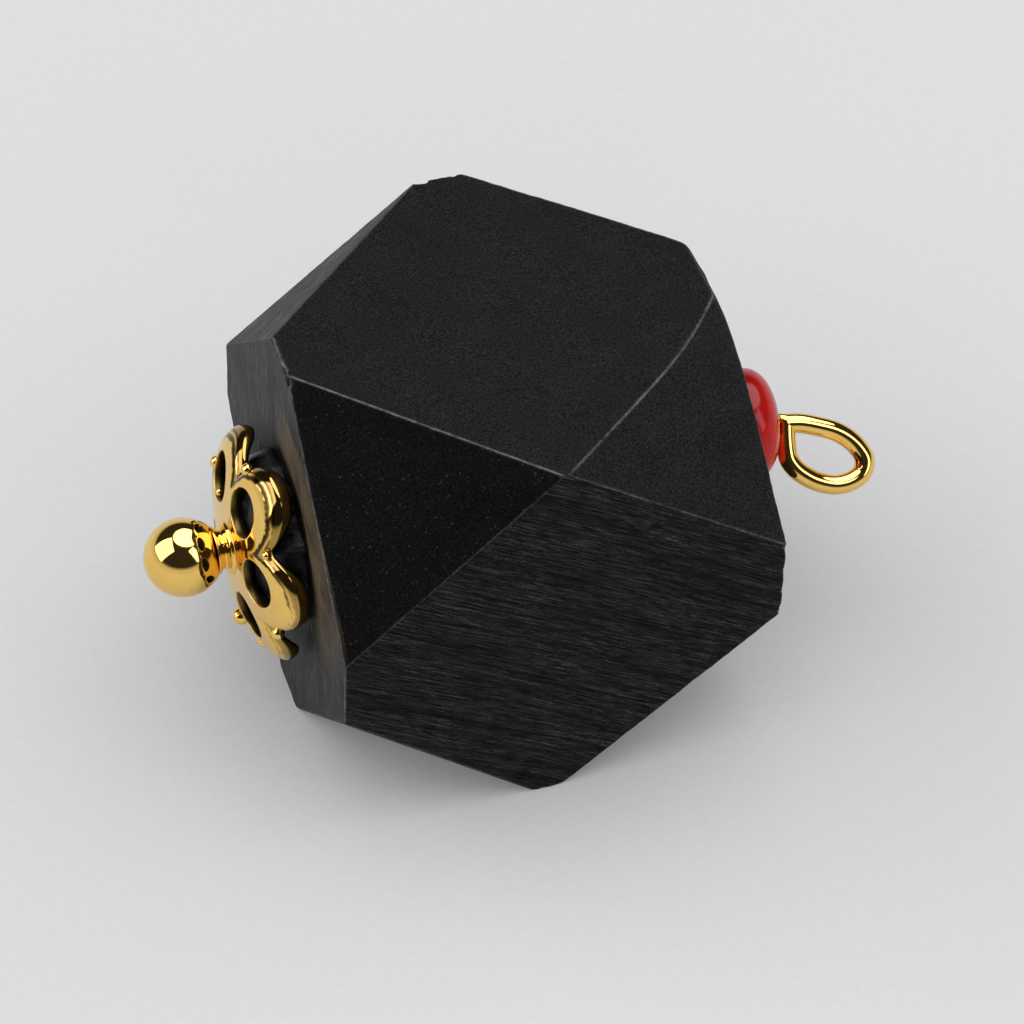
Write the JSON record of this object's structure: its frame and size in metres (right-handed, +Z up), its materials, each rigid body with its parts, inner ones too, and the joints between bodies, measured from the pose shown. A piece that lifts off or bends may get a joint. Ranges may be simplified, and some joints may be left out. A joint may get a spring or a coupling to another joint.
{
  "type": "jet stone charm",
  "caption": "Hand-cut faceted jet stone on a ball-ended gold wire, with a petalled bead cap, a red bead and a wire loop to hang it by.",
  "frame": {"origin": "middle of the flat facet that the stone rests on, under the stone's middle", "axes": "+X along the wire from the ball to the loop, +Z up, the grained front facet faces -Y"},
  "size_m": [0.0314, 0.0184, 0.019],
  "materials": {
    "jet": "matte black, hand rubbed, with fine grain lines and worn edges",
    "gold": "polished gold plate",
    "coral": "glossy red with faint pale clouds"
  },
  "bodies": {
    "root": {"stone": "jet", "bead_cap": "gold", "ball_pin": "gold", "red_bead": "coral"}
  },
  "joints": []
}
